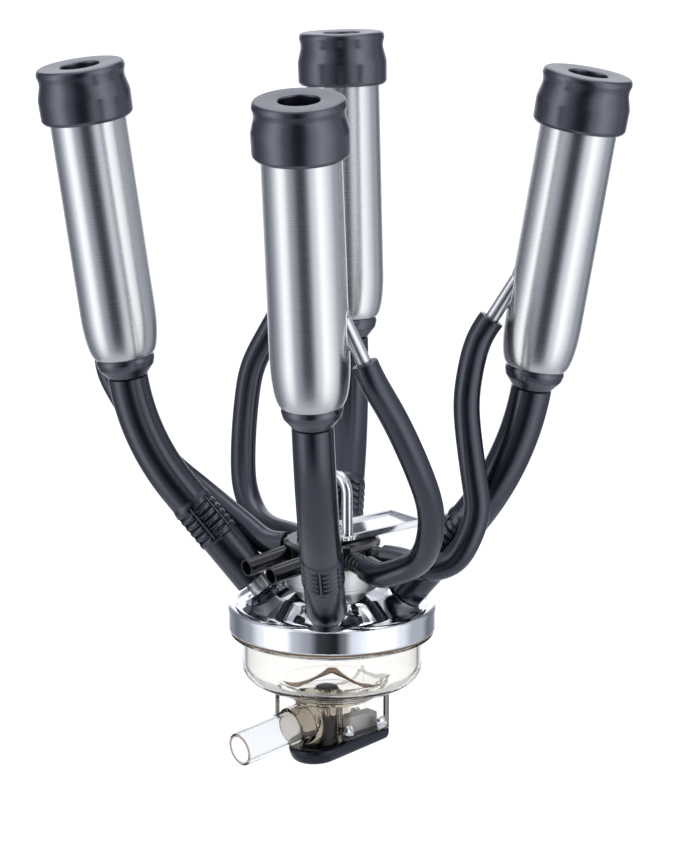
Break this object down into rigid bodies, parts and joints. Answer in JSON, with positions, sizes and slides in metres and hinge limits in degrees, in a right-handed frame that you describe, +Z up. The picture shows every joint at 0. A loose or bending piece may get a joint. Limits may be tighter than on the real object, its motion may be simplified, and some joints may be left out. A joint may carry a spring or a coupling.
{
  "type": "milking cluster",
  "caption": "Milking cluster: a chromed claw with a clear bowl, hung by a loop, carrying brushed steel teat cups on bent rubber milk tubes with pulse tubes alongside.",
  "frame": {"origin": "where a hook bears on the inside of the hanger loop's top", "axes": "+Z up along the claw's axis, -X along the milk outlet, cups near the diagonals of X and Y"},
  "size_m": [0.2623, 0.2677, 0.4246],
  "materials": {
    "chromed_cover": "polished",
    "satin_steel": "satin",
    "stamped_steel": "polished",
    "rod_steel": "polished",
    "fastener_steel": "satin",
    "tube_steel": "satin",
    "brushed_shell": "brushed",
    "liner_rubber": "satin",
    "milk_tube_rubber": "satin",
    "pulse_tube_rubber": "satin",
    "amber_clear": "clear",
    "clear_plastic": "clear",
    "black_plastic": "gloss",
    "boot_rubber": "satin",
    "grey_rubber": "matte",
    "gasket_rubber": "matte",
    "valve_rubber": "matte"
  },
  "bodies": {
    "claw": {"claw_cover": "chromed_cover", "cover_hub": "satin_steel", "bowl_gasket": "gasket_rubber", "bowl": "amber_clear", "outlet_chamber": "amber_clear", "flow_divider": "amber_clear", "valve_seat": "gasket_rubber", "outlet_tube": "clear_plastic", "clamp_tongue": "grey_rubber", "clamp_screws": "fastener_steel", "clamp_nuts": "fastener_steel", "rear_clip": "fastener_steel", "boot": "boot_rubber", "distributor": "black_plastic", "distributor_gasket": "gasket_rubber", "hanger_plate": "stamped_steel", "hanger_loop": "rod_steel", "centre_screw": "fastener_steel", "milk_nipple_front": "tube_steel", "milk_nipple_right": "tube_steel", "milk_nipple_back": "tube_steel", "milk_nipple_left": "tube_steel", "milk_tube_front": "milk_tube_rubber", "milk_tube_right": "milk_tube_rubber", "milk_tube_back": "milk_tube_rubber", "milk_tube_left": "milk_tube_rubber", "pulse_tube_front": "pulse_tube_rubber", "pulse_tube_right": "pulse_tube_rubber", "pulse_tube_back": "pulse_tube_rubber", "pulse_tube_left": "pulse_tube_rubber"},
    "valve_plunger": {"valve_disc": "valve_rubber", "valve_stem": "fastener_steel", "valve_foot": "valve_rubber"},
    "cup_front": {"shell_front": "brushed_shell", "pulse_nipple_front": "tube_steel", "liner_front": "liner_rubber"},
    "cup_right": {"shell_right": "brushed_shell", "pulse_nipple_right": "tube_steel", "liner_right": "liner_rubber"},
    "cup_back": {"shell_back": "brushed_shell", "pulse_nipple_back": "tube_steel", "liner_back": "liner_rubber"},
    "cup_left": {"shell_left": "brushed_shell", "pulse_nipple_left": "tube_steel", "liner_left": "liner_rubber"}
  },
  "joints": [
    {"name": "valve_lift", "type": "slide", "parent": "claw", "child": "valve_plunger", "axis": [0, 0, 1], "range_m": [0, 0.003]},
    {"name": "tilt_front", "type": "hinge", "parent": "claw", "child": "cup_front", "pos_m": [-0.07264, -0.07658, 0.01044], "axis": [0.7531, -0.657, 0.0336], "range_deg": [-12, 30], "stiffness_Nm_per_rad": 8, "deforming": ["milk_tube_front", "pulse_tube_front"]},
    {"name": "tilt_right", "type": "hinge", "parent": "claw", "child": "cup_right", "pos_m": [0.06866, -0.06934, 0.00109], "axis": [0.7155, 0.6986, -0.0056], "range_deg": [-12, 30], "stiffness_Nm_per_rad": 8, "deforming": ["milk_tube_right", "pulse_tube_right"]},
    {"name": "tilt_back", "type": "hinge", "parent": "claw", "child": "cup_back", "pos_m": [0.07377, 0.07504, 0.01019], "axis": [-0.6829, 0.7297, -0.0336], "range_deg": [-12, 30], "stiffness_Nm_per_rad": 8, "deforming": ["milk_tube_back", "pulse_tube_back"]},
    {"name": "tilt_left", "type": "hinge", "parent": "claw", "child": "cup_left", "pos_m": [-0.07184, 0.07971, 0.01199], "axis": [-0.7861, -0.6156, -0.056], "range_deg": [-12, 30], "stiffness_Nm_per_rad": 8, "deforming": ["milk_tube_left", "pulse_tube_left"]}
  ]
}
